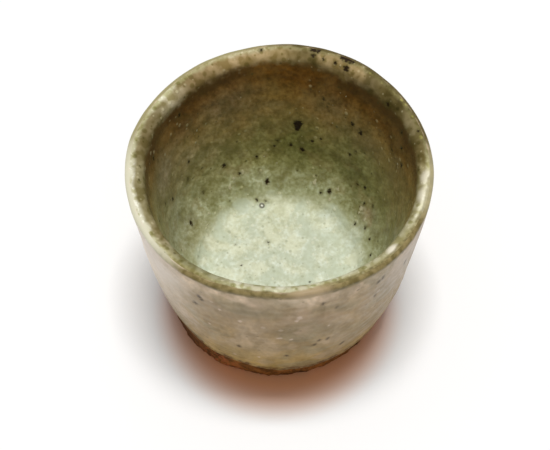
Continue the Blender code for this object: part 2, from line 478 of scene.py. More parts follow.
draw_line(clay, [
    (coat_end - CLAY_DEPTH, GLAZE_LINE, 0.0),
    (FOOT_RADIUS, FOOT_BEVEL, 0.0),
    (FOOT_RADIUS - FOOT_BEVEL, 0.0, FOOT_BEVEL / 2),
    (ring_inside, 0.0, FOOT_BEVEL / 2),
    (ring_inside - RECESS_SLOPE, RECESS_DEPTH, RECESS_ROUND),
    (0.0, RECESS_DEPTH, 0.0),
], UNDER_SEGMENTS)
subdivide_edges(clay, FLOOR_STEP, high=RECESS_DEPTH)
subdivide_edges(clay, BARE_STEP, low=FOOT_BEVEL / 4, high=GLAZE_LINE)
turn_profile(clay)
keep_turned_place(clay)
print("clay in mm:", measures(clay))

# %% [markdown]
# Marks of the wheel
# A potter's fingertips climb slowly while the clay turns, so they leave a shallow spiral on both sides of the
# wall. On the cup it shows as faint level lines, mostly under the lip. A screw modifier could turn a spiral
# directly, but the two ends would need capping. Here the spiral is a wave laid on the finished surface, whose
# phase advances by one pitch for each turn.

# %% Throwing rings
LINING_RING_PITCH = 0.0052
LINING_RING_DEPTH = 0.00005
LINING_RINGS = (0.020, 0.058)
COAT_RING_PITCH = 0.0034
COAT_RING_DEPTH = 0.00004
COAT_RINGS = (0.008, 0.059)
RING_FADE = 0.006
RING_UNEVENNESS = 0.3
UNDERSIDE_RING_PITCH = 0.0022
UNDERSIDE_RING_DEPTH = 0.00010


def fade_between(values, low, high, fade):
    """One between low and high, falling to zero over the fade at either end."""
    return np.clip(np.minimum(values - low, high - values) / fade, 0.0, 1.0)


def throwing_rings(piece, pitch, depth, low, high):
    """Lays a spiral of shallow ridges on a wall between two heights."""
    x, y, z = read_points(piece).T
    angle = np.arctan2(y, x)
    press = 1 - RING_UNEVENNESS + RING_UNEVENNESS * np.cos(2 * angle + z / pitch)
    ridge = depth * press * np.cos(math.tau * z / pitch - angle) * fade_between(z, low, high, RING_FADE)
    grown = 1 + ridge / np.maximum(np.hypot(x, y), FOOT_RADIUS / 2)
    write_points(piece, np.stack([x * grown, y * grown, z], 1))


def turning_marks(piece):
    """Cuts the trimming tool's rings into the recess under the foot."""
    x, y, z = read_points(piece).T
    radius = np.hypot(x, y)
    under = (z < 1.2 * RECESS_DEPTH) * fade_between(radius, 0.0, ring_inside - RECESS_SLOPE, RECESS_SLOPE)
    wave = np.cos(math.tau * radius / UNDERSIDE_RING_PITCH - np.arctan2(y, x))
    write_points(piece, np.stack([x, y, z + UNDERSIDE_RING_DEPTH * wave * under], 1))


throwing_rings(lining, LINING_RING_PITCH, LINING_RING_DEPTH, *LINING_RINGS)
throwing_rings(coat, COAT_RING_PITCH, COAT_RING_DEPTH, *COAT_RINGS)
turning_marks(clay)
print("rings on the lining:", round((LINING_RINGS[1] - LINING_RINGS[0]) / LINING_RING_PITCH))

# %% [markdown]
# The end of the coat
# The cup was dipped upside down and at a slant, so the coat ends in a slanted line above the foot. In the
# kiln its edge ran a little: it set as a thick roll, ragged and lower where more glaze was. The roll is a
# swelling of the surface near the end. The ragged line slides the end up and down the wall by a random wave,
# and by a few runs placed where the real cup has them. Both could be sculpted, but a sum of waves from a
# fixed seed comes out alike each time.

# %% Random waves, ragged end and roll
WAVES = 24
END_WAVE = 0.013
END_WAVE_HEIGHT = 0.0006
END_NICK = 0.0035
END_NICK_HEIGHT = 0.00035
END_RUNS = (
    # angle in degrees, half width in degrees, how far the end lies higher
    (-130, 18, 0.0051),
    (-107, 12, 0.0032),
    (-88, 7, -0.0012),
    (-58, 24, 0.0028),
)
GLAZE_BEAD = 0.0003
BEAD_LENGTH = 0.0024
BEAD_SKEW = 0.7


def lumps(points, size, seed):
    """Random hills and hollows of about this size, as a sum of seeded waves, mostly between -1 and 1."""
    draw = np.random.default_rng(seed)
    total = np.zeros(len(points))
    for _ in range(WAVES):
        heading = draw.normal(size=3)
        heading *= math.tau / (size * draw.uniform(0.8, 2.0) * np.linalg.norm(heading))
        total += np.cos(points @ heading + draw.uniform(0.0, math.tau))
    return total / math.sqrt(WAVES)


def turn_between(angle, side):
    """Angle from a side given in degrees, the short way round."""
    return np.remainder(angle - math.radians(side) + math.pi, math.tau) - math.pi


def ragged_end(angle):
    """How far the coat's end lies above or below its slanted line at each angle."""
    ring = FOOT_RADIUS * np.stack([np.cos(angle), np.sin(angle), np.zeros_like(angle)], 1)
    end = END_WAVE_HEIGHT * lumps(ring, END_WAVE, seed=3) + END_NICK_HEIGHT * lumps(ring, END_NICK, seed=4)
    for side, half, higher in END_RUNS:
        end += higher * np.exp(-(turn_between(angle, side) / math.radians(half)) ** 2)
    return end


def roll_coat_end(piece):
    """Swells the coat's outer face near its lower end."""
    x, y, z = read_points(piece).T
    radius = np.hypot(x, y)
    share = np.clip(1 - (z - GLAZE_LINE) / BEAD_LENGTH, 0.0, 1.0)
    outer = outside_radius(z) - radius < GLAZE_THICKNESS / 2
    grown = 1 + GLAZE_BEAD * np.sin(math.pi * share ** BEAD_SKEW) ** 2 * outer / radius
    write_points(piece, np.stack([x * grown, y * grown, z], 1))


roll_coat_end(coat)
ends = 1000 * ragged_end(np.linspace(-math.pi, math.pi, TURN_STEPS))
print("coat end strays by, mm:", round(float(ends.min()), 2), "to", round(float(ends.max()), 2))

# %% [markdown]
# Made by hand
# No cup off a potter's wheel is truly round. The rim rises and falls by about a millimetre, the foot was
# trimmed a little off centre, and the cup was dipped at a slant, so the coat ends higher on one side. These
# are the same waves as in the frame's solids, and all three pieces share them, so their seams stay closed.

# %% How uneven the cup is
GLAZE_SLANT = 0.0028
GLAZE_HIGH_SIDE = math.radians(-140)
SLANT_TOP = 0.0220
FOOT_STRAY = 0.0005
FOOT_STRAY_SIDE = math.radians(180)
INSIDE_STRAY = 0.0005
INSIDE_STRAY_SIDE = math.radians(-30)
RIM_TILT = 0.0003
RIM_TILT_CREST = math.radians(61)
THREE_LOBE_LIFT = 0.0007
THREE_LOBE_CREST = math.radians(42)
FOUR_LOBE_LIFT = 0.00035
FOUR_LOBE_CREST = math.radians(0)
OUT_OF_ROUND = 0.0003
OUT_OF_ROUND_CREST = math.radians(-25)
print("rim rises by up to, mm:", round(1000 * (RIM_TILT + THREE_LOBE_LIFT + FOUR_LOBE_LIFT), 2))

# %% Waves, slant and stray
def slide_coat_end(r, z, amount):
    """Slides points near the coat's lower end along the wall by an amount, which fades above and below."""
    depth = outside_radius(z) - r
    below = (z - FOOT_BEVEL) / (GLAZE_LINE - FOOT_BEVEL)
    above = (SLANT_TOP - z) / (SLANT_TOP - GLAZE_LINE)
    share = np.clip(np.minimum(below, above), 0.0, 1.0) * (depth < 2 * CLAY_DEPTH)
    slid = z + amount * share
    return np.where(share > 0, outside_radius(slid) - depth, r), slid


def stray(x, y, amount, side):
    return x + amount * math.cos(side), y + amount * math.sin(side)


def make_uneven(piece):
    """Gives a turned piece the slant, the waves of the rim and the stray of the inside and the foot."""
    x, y, z = read_points(piece).T
    angle = np.arctan2(y, x)
    slide = GLAZE_SLANT * np.cos(angle - GLAZE_HIGH_SIDE) + ragged_end(angle)
    r, z = slide_coat_end(np.hypot(x, y), z, slide)
    inside_share = np.clip((outside_radius(z) - r) / LIP_WALL, 0.0, 1.0) * z / CUP_HEIGHT
    foot_share = np.clip(1 - z / BELLY_HEIGHT, 0.0, None) ** 2
    reach = (z / CUP_HEIGHT) ** 2 * r / RIM_RADIUS
    lift = RIM_TILT * np.cos(angle - RIM_TILT_CREST)
    lift += THREE_LOBE_LIFT * np.cos(3 * (angle - THREE_LOBE_CREST))
    lift += FOUR_LOBE_LIFT * np.cos(4 * (angle - FOUR_LOBE_CREST))
    r = r + reach * OUT_OF_ROUND * np.cos(3 * (angle - OUT_OF_ROUND_CREST))
    x, y = stray(r * np.cos(angle), r * np.sin(angle), INSIDE_STRAY * inside_share, INSIDE_STRAY_SIDE)
    x, y = stray(x, y, FOOT_STRAY * foot_share, FOOT_STRAY_SIDE)
    write_points(piece, np.stack([x, y, z + lift * reach], 1))


for piece in (clay, lining, coat):
    make_uneven(piece)
    print(piece.name, "now measures, mm:", measures(piece))

# %% [markdown]
# Dents and lumps
# Hands lift a soft cup off the wheel, so its wall has shallow dents, and thick glaze dries in soft lumps.
# Three dents are placed where the outline shows them: a waist above the foot on the left, a flare of the foot
# below it, and a bulge on the right. The lumps are random and move all pieces alike, and they fade out at the
# foot, which has to stand flat. The bare clay is rougher, because coarse grit shows where no glaze covers it.
# A displace modifier could do the same, but would need a texture for each size of lump.

# %% Placed dents
DENTS = (
    # angle in degrees, height, width around, height of the dent, how far it stands out
    (-140, 0.0125, 0.009, 0.005, -0.0006),
    (-132, 0.0020, 0.009, 0.004, 0.0006),
    (-25, 0.0250, 0.010, 0.008, 0.0004),
)
SKIN_REACH = 0.003


def press_dents(piece):
    """Pushes the outer skin in or out around each dent."""
    x, y, z = read_points(piece).T
    radius = np.hypot(x, y)
    angle = np.arctan2(y, x)
    outer = np.clip(1 - (outside_radius(z) - radius) / SKIN_REACH, 0.0, 1.0)
    outer *= np.clip(z / FOOT_BEVEL, 0.0, 1.0)
    push = np.zeros_like(z)
    for side, height, around, tall, depth in DENTS:
        gap = turn_between(angle, side)
        push += depth * np.exp(-(gap * radius / around) ** 2 - ((z - height) / tall) ** 2)
    grown = 1 + push * outer / np.maximum(radius, SKIN_REACH)
    write_points(piece, np.stack([x * grown, y * grown, z], 1))


for piece in (clay, coat):
    press_dents(piece)
print("dents pressed:", len(DENTS))

# %% Soft lumps and rough clay
LUMPS = (
    # size and height of the lumps
    (0.024, 0.00016),
    (0.008, 0.00006),
)
LUMPS_START = 0.004
GRIT = (
    (0.0040, 0.00016),
    (0.0012, 0.00010),
)


def soft_lumps(piece):
    """Moves every point by the same random field, whichever piece it belongs to."""
    points = read_points(piece)
    share = np.clip(points[:, 2] / LUMPS_START - 1, 0.0, 1.0)
    moved = points.copy()
    for seed, (size, height) in enumerate(LUMPS):
        for axis in range(3):
            moved[:, axis] += height * share * lumps(points, size, seed=10 * seed + axis)
    write_points(piece, moved)


def roughen_clay(piece):
    """Raises grit on the bare band of clay above the foot, along its normals."""
    points = read_points(piece)
    normals = np.empty(3 * len(points))
    piece.data.vertex_normals.foreach_get("vector", normals)
    radius = np.hypot(points[:, 0], points[:, 1])
    bare = fade_between(points[:, 2], 0.0, SLANT_TOP, FOOT_BEVEL) * (radius > FOOT_RADIUS - SKIN_REACH)
    for seed, (size, height) in enumerate(GRIT, start=50):
        points += (height * bare * lumps(points, size, seed))[:, None] * normals.reshape(-1, 3)
    write_points(piece, points)


for piece in (clay, lining, coat):
    soft_lumps(piece)
roughen_clay(clay)
print("coat after the lumps, mm:", measures(coat))

# %% [markdown]
# Spots, flecks and crusts
# Grains of iron in the clay bleed through the glaze and burn to black spots. Pale flecks lie on the coat, and
# pale crusts on the inside. Most are pinheads, and a texture of random cells makes those later. The plain
# ones are placed one by one, where they sit on the real cup. They are stored on the vertices: each vertex
# keeps how far it is from the edge of the nearest spot, and the finish turns that distance into a spot with a
# soft halo.
# A painted picture would do it too, but only at one resolution.

# %% Placed spots, flecks and crusts
WALL_SPOTS = (
    # angle in degrees, height in mm, width in mm
    (81.8, 36.1, 1.6), (79.2, 36.2, 1.6), (80.4, 34.7, 1.8), (80.5, 35.8, 1.9), (46, 42.8, 1.2),
    (52, 43.8, 1.0), (84, 27.3, 0.8), (92.7, 26.2, 0.7), (72, 30, 0.8), (77.4, 25.6, 1.1), (123, 24, 1.1),
    (103, 23, 0.9), (145, 36, 0.7), (166, 32, 0.8), (14, 49, 1.1), (19, 53, 0.9), (49.7, 31.7, 0.8),
    (69, 47.7, 0.7), (67.4, 32, 0.5), (98, 14.5, 1.3), (55, 15.5, 1.2), (61, 14, 0.6), (160, 17, 1.3),
    (141, 20, 0.7), (-1, 16, 0.8), (35, 60, 1.1), (40.2, 23, 0.7), (34.6, 24.5, 0.8), (30.5, 20, 0.7),
    (26.6, 13.5, 0.8), (18.3, 16.3, 0.9), (23.7, 22.6, 0.6), (9.2, 16.5, 0.7), (45.8, 34.7, 0.5),
    (91.3, 28.8, 0.7), (22.3, 56.9, 0.9), (24.6, 47.7, 0.7), (174.5, 36.9, 0.6), (192.5, 44.8, 0.9),
    (186, 24.5, 0.8), (148.6, 30.2, 0.6), (106.7, 9.9, 0.5), (100.1, 8.9, 0.5), (169.3, 54, 0.9),
    (142.8, 54.6, 0.8), (114.8, 18.8, 0.7),
)
FLOOR_SPOTS = (
    # angle in degrees, distance from the axis in mm, width in mm
    (112, 8.7, 0.8), (180, 10.8, 0.5), (151, 14.6, 0.3), (-31, 10.4, 0.3),
)
RIM_SPOTS = (
    # angle in degrees, distance from the axis in mm, width in mm
    (60.3, 35.9, 1.5), (66.3, 36.5, 0.8), (75.5, 37.0, 1.0), (71, 36.5, 0.5), (27, 38.3, 0.7),
    (16, 37.9, 0.7), (76.5, 39.5, 0.8), (75.5, 39.5, 0.9), (74.5, 39.4, 0.7), (64, 39.1, 0.7),
    (63, 39.0, 1.0), (62, 38.9, 0.9), (61, 38.9, 1.0), (60, 38.8, 0.7), (58.3, 38.4, 0.7),
    (98, 38.1, 0.7), (76.2, 38.5, 1.9), (74.8, 38.5, 1.7), (63.4, 38.4, 1.8), (61.9, 38.4, 1.9),
    (60.4, 38.3, 1.8), (168.4, 36.6, 0.8),
)
PALE_CRUSTS = (
    # angle in degrees, height in mm, width in mm
    (122.8, 16.1, 1.2), (113.1, 19, 1.2), (119.2, 18, 0.8), (138.1, 40.1, 0.7), (159.3, 48.3, 0.6),
    (144.6, 13.7, 0.8), (104.8, 45.8, 0.5), (109, 47.8, 0.5), (130, 44.2, 0.4), (134.9, 44, 0.5),
    (98.7, 22.8, 0.5), (150.5, 11.8, 0.6), (66.6, 16.4, 1.3), (50.9, 17.5, 0.9), (53.5, 13.5, 1.0),
    (30.5, 18.2, 1.4), (22.9, 17.3, 1.1), (29.4, 16.8, 0.9), (58.1, 52.2, 0.4), (71.4, 50.2, 0.4),
    (84.6, 40, 0.4), (62.6, 40.1, 0.6), (17.3, 47.2, 0.8), (29.7, 38.4, 0.6), (91.8, 20.1, 0.6),
)
COAT_SPOTS = (
    # angle in degrees, height in mm, width in mm
    (-121, 51, 1.1), (-120, 50, 0.8), (-123.5, 45, 0.9), (-75, 28.3, 1.0), (-61.5, 20.6, 0.8),
    (-60.3, 21.2, 0.9), (-86.5, 22, 0.9), (-50.6, 53.6, 0.9), (-48.4, 54.5, 0.8), (-73.8, 55.1, 0.7),
    (-68, 50.4, 0.5), (-50, 45.5, 0.5), (-33, 48.5, 0.9), (-72.7, 31.3, 0.7), (-69.2, 31, 0.8),
    (-106, 26.4, 0.9),
)
COAT_FLECKS = (
    # angle in degrees, height in mm, width in mm
    (-104.2, 44.7, 1.1), (-89.8, 36, 0.9), (-88.7, 36, 0.9), (-84.8, 35, 0.9), (-81.6, 48.7, 1.5),
    (-83.4, 47.2, 1.0), (-112.6, 48.2, 1.0), (-98, 20, 0.8), (-70, 40, 0.8), (-118, 36, 0.9),
)
print("spots inside:", len(WALL_SPOTS) + len(FLOOR_SPOTS), "crusts:", len(PALE_CRUSTS))
print("spots outside:", len(COAT_SPOTS), "flecks:", len(COAT_FLECKS), "spots on the rim:", len(RIM_SPOTS))

# %% Finding a place on the cup
SPOT_RUN = 1.5


def around_axis(angle, radius, height):
    """A point from its angle in degrees, its distance from the axis and its height."""
    turn = math.radians(angle)
    return np.array((radius * math.cos(turn), radius * math.sin(turn), height))


def on_edge(angle):
    return around_axis(angle, RIM_RADIUS, CUP_HEIGHT)


def on_seam(angle):
    return around_axis(angle, SEAM_RADIUS, CUP_HEIGHT)


def inside_radius(height):
    """Radius of the finished inside wall at a height."""
    heights = (FLOOR_HEIGHT, COVE_HEIGHT, CUP_HEIGHT)
    return float(np.interp(height, heights, (FLOOR_RADIUS, COVE_RADIUS, RIM_RADIUS - LIP_WALL)))


def on_wall(angle, height):
    return around_axis(angle, inside_radius(height), height)


def on_coat(angle, height):
    return around_axis(angle, float(outside_radius(height)), height)


def gap_to(points, target, run=1.0):
    """Distance of points from the one nearest to the target, in a measure stretched upright by run."""
    nearest = points[np.argmin(np.sum((points - target) ** 2, 1))]
    return np.linalg.norm((points - nearest) / (1.0, 1.0, run), axis=1)


def gap_to_spots(points, spots):
    """Distance of each point from the edge of the nearest spot, below nothing inside it."""
    gap = np.full(len(points), RIM_RADIUS)
    for target, width in spots:
        gap = np.minimum(gap, gap_to(points, target, SPOT_RUN) - width / 2000)
    return gap


# %% Store the distances on the vertices
BUBBLE_ANGLE = 104
BUBBLE_FROM_AXIS = 0.0214

on_rim = [(around_axis(angle, mm / 1000, CUP_HEIGHT), width) for angle, mm, width in RIM_SPOTS]
inside = [(on_wall(angle, mm / 1000), width) for angle, mm, width in WALL_SPOTS]
inside += [(around_axis(angle, mm / 1000, FLOOR_HEIGHT), width) for angle, mm, width in FLOOR_SPOTS]
inside += [spot for spot in on_rim if np.hypot(*spot[0][:2]) < SEAM_RADIUS]
outside = [(on_coat(angle, mm / 1000), width) for angle, mm, width in COAT_SPOTS]
outside += [spot for spot in on_rim if np.hypot(*spot[0][:2]) >= SEAM_RADIUS]
flecks = [(on_coat(angle, mm / 1000), width) for angle, mm, width in COAT_FLECKS]
crusts = [(on_wall(angle, mm / 1000), width) for angle, mm, width in PALE_CRUSTS]
skin = read_points(lining)
from_spot = gap_to_spots(skin, inside)
from_bubble = gap_to(skin, around_axis(BUBBLE_ANGLE, BUBBLE_FROM_AXIS, FLOOR_HEIGHT))
write_attribute(lining, "from_spot", from_spot)
write_attribute(lining, "from_bubble", from_bubble)
write_attribute(lining, "from_fleck", gap_to_spots(skin, crusts))
write_attribute(coat, "from_spot", gap_to_spots(read_points(coat), outside))
write_attribute(coat, "from_fleck", gap_to_spots(read_points(coat), flecks))
print("placed spots and flecks:", len(inside) + len(outside), len(flecks) + len(crusts))

# %% Pits and the burst bubble
SPOT_PIT = 0.00012
BUBBLE_RADIUS = 0.00060
BUBBLE_RIM = 0.00028
BUBBLE_LIFT = 0.00022

pit = SPOT_PIT * np.clip(-from_spot / SPOT_PIT, 0.0, 1.0)
ring = BUBBLE_LIFT * np.exp(-((from_bubble - BUBBLE_RADIUS) / BUBBLE_RIM) ** 2)
inwards = np.stack([-skin[:, 0], -skin[:, 1], np.full(len(skin), RIM_RADIUS)], 1)
inwards /= np.linalg.norm(inwards, axis=1)[:, None]
write_points(lining, skin + (ring - pit)[:, None] * inwards)
print("deepest pit in mm:", round(1000 * float(pit.max()), 2))

# %% [markdown]
# Effects that the finishes share
# Three effects come back in more than one finish, so each is a node group with named inputs. Specks are round
# grains, one in some of the cells of a random pattern. Mottle gives soft patches and finer blotches inside
# them. Lip wear says where the glaze is thin: on the crest of the lip it is pale, and on the sharp outer edge
# the iron of the clay shines through in olive brown. Copying the nodes would work, but a group is changed
# once for all.

# %% Group helpers
FLOAT = "NodeSocketFloat"
VECTOR = "NodeSocketVector"


def new_group(name, inputs, outputs):
    """An empty shader node group, with its inputs as sockets to read and its outputs as sockets to fill."""
    group = bpy.data.node_groups.new(name, "ShaderNodeTree")
    for socket, kind in inputs.items():
        group.interface.new_socket(socket, in_out="INPUT", socket_type=kind)
    for socket in outputs:
        group.interface.new_socket(socket, in_out="OUTPUT", socket_type=FLOAT)
    return group, group.nodes.new("NodeGroupInput").outputs, group.nodes.new("NodeGroupOutput").inputs


def use_group(tree, group, **inputs):
    return add_node(tree, "ShaderNodeGroup", inputs, node_tree=group).outputs


def shifted(tree, value, noise, amount):
    """Moves a value up and down by noise around one half, by at most half this amount."""
    centred = calculate(tree, "SUBTRACT", noise, 0.5)
    return calculate(tree, "ADD", value, times(tree, centred, amount))


# %% Specks
specks, given, result = new_group(
    "glaze_specks", {"Place": VECTOR, "Spacing": FLOAT, "Width": FLOAT, "Share": FLOAT}, ["Mask"])
density = calculate(specks, "DIVIDE", 1.0, given["Spacing"])
cells = add_node(specks, "ShaderNodeTexVoronoi", {"Vector": given["Place"], "Scale": density}).outputs
chance = add_node(specks, "ShaderNodeSeparateColor", {"Color": cells["Color"]}).outputs
half = times(specks, times(specks, given["Width"], density), 0.5)
half = times(specks, half, rise(specks, chance["Green"], 0.0, 1.0, 0.5, 1.3))
grain = rise(specks, cells["Distance"], half, times(specks, half, 0.45))
drawn = calculate(specks, "LESS_THAN", chance["Red"], given["Share"])
specks.links.new(times(specks, grain, drawn), result["Mask"])
print("nodes in the specks:", len(specks.nodes))

# %% Mottle
mottle, given, result = new_group("kiln_mottle", {"Place": VECTOR, "Size": FLOAT}, ["Broad", "Fine"])
density = calculate(mottle, "DIVIDE", 1.0, given["Size"])
patches = add_node(mottle, "ShaderNodeTexNoise", {"Vector": given["Place"], "Scale": density, "Detail": 3.0})
blotches = add_node(mottle, "ShaderNodeTexNoise", {
    "Vector": given["Place"], "Scale": times(mottle, density, 5.0), "Detail": 3.0})
mottle.links.new(rise(mottle, patches.outputs["Fac"], 0.30, 0.70), result["Broad"])
mottle.links.new(rise(mottle, blotches.outputs["Fac"], 0.30, 0.70), result["Fine"])
print("nodes in the mottle:", len(mottle.nodes))

# %% Lip wear
lip_wear, given, result = new_group(
    "lip_wear", {"Place": VECTOR, "Height": FLOAT, "Radius": FLOAT}, ["Crest", "Edge"])
noise = clouds(lip_wear, given["Place"], size=0.0035, detail=2.0)
rough_radius = shifted(lip_wear, given["Radius"], noise, 0.0018)
rough_height = shifted(lip_wear, given["Height"], noise, 0.0018)
top = rise(lip_wear, rough_height, CUP_HEIGHT - 0.0026, CUP_HEIGHT - 0.0012)
crest = rise(lip_wear, rough_radius, RIM_RADIUS - 0.0028, RIM_RADIUS - 0.0015)
edge = rise(lip_wear, rough_radius, RIM_RADIUS - 0.0017, RIM_RADIUS - 0.0009)
lip_wear.links.new(times(lip_wear, crest, top), result["Crest"])
lip_wear.links.new(times(lip_wear, edge, top), result["Edge"])
print("groups:", [group.name for group in (specks, mottle, lip_wear)])

# %% [markdown]
# Celadon lining
# The lining is a wood-ash glaze. Where it pools on the floor it is thick and pale grey-green, on the cove it
# thins to olive, and up the wall the iron of the clay turns it brown. The main colour is a ramp over the
# height that each vertex had on the wheel, and noise shifts the height so that the zones run into each other
# as melted glaze does. They lie lower at the back than at the front, as if the cup had leaned in the kiln.
# Hand painting would give the same zones, but would fix them to one resolution.

# %% Helpers for colour by place
NOISE_HOLLOW = 0.36
NOISE_MIDDLE = 0.50
NOISE_HILL = 0.66


def ramp(tree, value, stops):
    """Colours by a value: each stop is a value in mm and its colour."""
    low, high = stops[0][0], stops[-1][0]
    limits = {"Value": value, "From Min": low / 1000, "From Max": high / 1000}
    share = add_node(tree, "ShaderNodeMapRange", limits).outputs["Result"]
    band = add_node(tree, "ShaderNodeValToRGB", {"Fac": share})
    elements = band.color_ramp.elements
    for mm, colour in stops[1:-1]:
        elements.new((mm - low) / (high - low)).color = paint(colour)
    elements[0].color = paint(stops[0][1])
    elements[-1].color = paint(stops[-1][1])
    return band.outputs["Color"]


def wander(tree, place, size, amount):
    """Shifts a place by coloured noise, so that a patch drawn there gets a ragged outline."""
    noise = add_node(tree, "ShaderNodeTexNoise", {"Vector": place, "Scale": 1 / size, "Detail": 3.0})
    inputs = {0: noise.outputs["Color"], 1: (2 * amount,) * 3, 2: (-amount,) * 3}
    shift = add_node(tree, "ShaderNodeVectorMath", inputs, operation="MULTIPLY_ADD").outputs["Vector"]
    return add_node(tree, "ShaderNodeVectorMath", {0: place, 1: shift}, operation="ADD").outputs["Vector"]


def patch_at(tree, place, target, reach, core, strength):
    """A soft patch around a target: reach and core in mm, and the value that it has in its core."""
    return times(tree, near(tree, place, target, reach / 1000, core / 1000), strength)


def mottled(tree, colour, noise, strength, deeper, paler):
    """Deepens a colour in the hollows of a noise and lightens it on its hills."""
    hollow = times(tree, rise(tree, noise, NOISE_MIDDLE, NOISE_HOLLOW), strength)
    colour = tint(tree, hollow, colour, deeper, "MULTIPLY")
    hill = times(tree, rise(tree, noise, NOISE_MIDDLE, NOISE_HILL), strength)
    return tint(tree, hill, colour, paler, "MULTIPLY")


def grains(tree, place, spacing, width, share, where=1.0):
    """Round grains in a share of the cells, kept to where a mask is."""
    mask = use_group(tree, specks, Place=place, Spacing=spacing, Width=width, Share=share)["Mask"]
    return times(tree, mask, where)


def calm_sides(tree, place, start, least):
    """One in the middle of the cup, falling to the least value towards its left and right sides."""
    across = add_node(tree, "ShaderNodeSeparateXYZ", {0: place}).outputs["X"]
    return rise(tree, calculate(tree, "ABSOLUTE", across), start, 0.80 * RIM_RADIUS, 1.0, least)


# %% Helpers for the lip
WEAR_FURTHER_IN = 0.0007
WEAR_HIGHER_UP = 0.0009
EDGE_PATCHES = (
    # angle in degrees, reach and core in mm, strength, colour
    # the cream at 197 and -8, on the far left and right of the edge, is partly painted highlight
    (197, 26, 13, 1.00, (0.700, 0.670, 0.500)),
    (135, 34, 18, 0.80, (0.370, 0.335, 0.165)),
    (46, 34, 22, 0.70, (0.070, 0.055, 0.014)),
    (-8, 15, 5, 0.45, (0.600, 0.550, 0.350)),
    (-80, 9, 2, 0.80, (0.480, 0.360, 0.215)),
)


def worn_lip(tree, place, radius, height):
    """Lip wear that lies further in on the right of the front, and higher up on its left."""
    right = near(tree, place, on_edge(-45), reach=0.030, core=0.016)
    left = near(tree, place, on_edge(-131), reach=0.016, core=0.006)
    radius = calculate(tree, "ADD", radius, times(tree, right, WEAR_FURTHER_IN))
    height = calculate(tree, "SUBTRACT", height, times(tree, left, WEAR_HIGHER_UP))
    return use_group(tree, lip_wear, Place=place, Height=height, Radius=radius)


def edge_of_lip(tree, loose, colour):
    """Gives the olive brown of the lip's outer edge its cream and dark places, the cream on the far left and
    right partly a painted highlight.
    """
    for angle, reach, core, strength, glaze in EDGE_PATCHES:
        colour = tint(tree, patch_at(tree, loose, on_edge(angle), reach, core, strength), colour, glaze)
    return colour


# %% Lining colour by height
LINING_ZONES = (
    # height in mm, colour
    (8.5, (0.670, 0.702, 0.552)), (10.8, (0.635, 0.656, 0.480)), (13.0, (0.485, 0.490, 0.300)),
    (15.3, (0.425, 0.435, 0.250)), (20.2, (0.410, 0.410, 0.230)), (28.5, (0.350, 0.325, 0.135)),
    (41.2, (0.295, 0.252, 0.090)), (48.8, (0.325, 0.243, 0.086)), (57.3, (0.312, 0.188, 0.047)),
    (64.7, (0.245, 0.124, 0.019)), (70.0, (0.175, 0.086, 0.013)),
)
ZONE_SHIFTS = (
    # angle in degrees, reach and core in mm, how far the zones lie lower there
    (105, 24, 9, 0.0009),
    (14, 18, 8, -0.0022),
)
lining_finish, tree, shader = new_material("celadon_lining")
place = object_place(tree)
loose = wander(tree, place, size=0.006, amount=0.005)
height = attribute(tree, "turned_height")
radius = attribute(tree, "turned_radius")
patch = use_group(tree, mottle, Place=place, Size=0.006)
calm = calm_sides(tree, place, start=0.022, least=0.65)
sloping = slanted(tree, place, stretch=2.0)
curdle = clouds(tree, sloping, size=0.0026, detail=1.5, wobble=0.2)
runs = clouds(tree, sloping, size=0.0040, detail=2.0)
drift = clouds(tree, place, size=0.014, wobble=0.6)
level_lines = clouds(tree, sloping, size=0.0052, detail=2.0)
sway = rise(tree, height, 0.014, 0.030, 0.0, 0.030)
axes = add_node(tree, "ShaderNodeSeparateXYZ", {0: place}).outputs
lean = rise(tree, height, 0.014, 0.030, 0.06, 0.40)
level = calculate(tree, "ADD", height, times(tree, axes["Y"], lean))
front = times(tree, rise(tree, axes["Y"], 0.012, -0.022), rise(tree, height, 0.020, 0.040))
level = calculate(tree, "SUBTRACT", level, times(tree, front, 0.020))
level = shifted(tree, level, patch["Broad"], 0.0030)
level = shifted(tree, level, curdle, 0.0030)
level = shifted(tree, level, drift, sway)
for angle, reach, core, lower in ZONE_SHIFTS:
    target = around_axis(angle, FLOOR_RADIUS, FLOOR_HEIGHT)
    level = calculate(tree, "ADD", level, patch_at(tree, place, target, reach, core, lower))
colour = ramp(tree, level, LINING_ZONES)
print("zones on the lining:", len(LINING_ZONES))
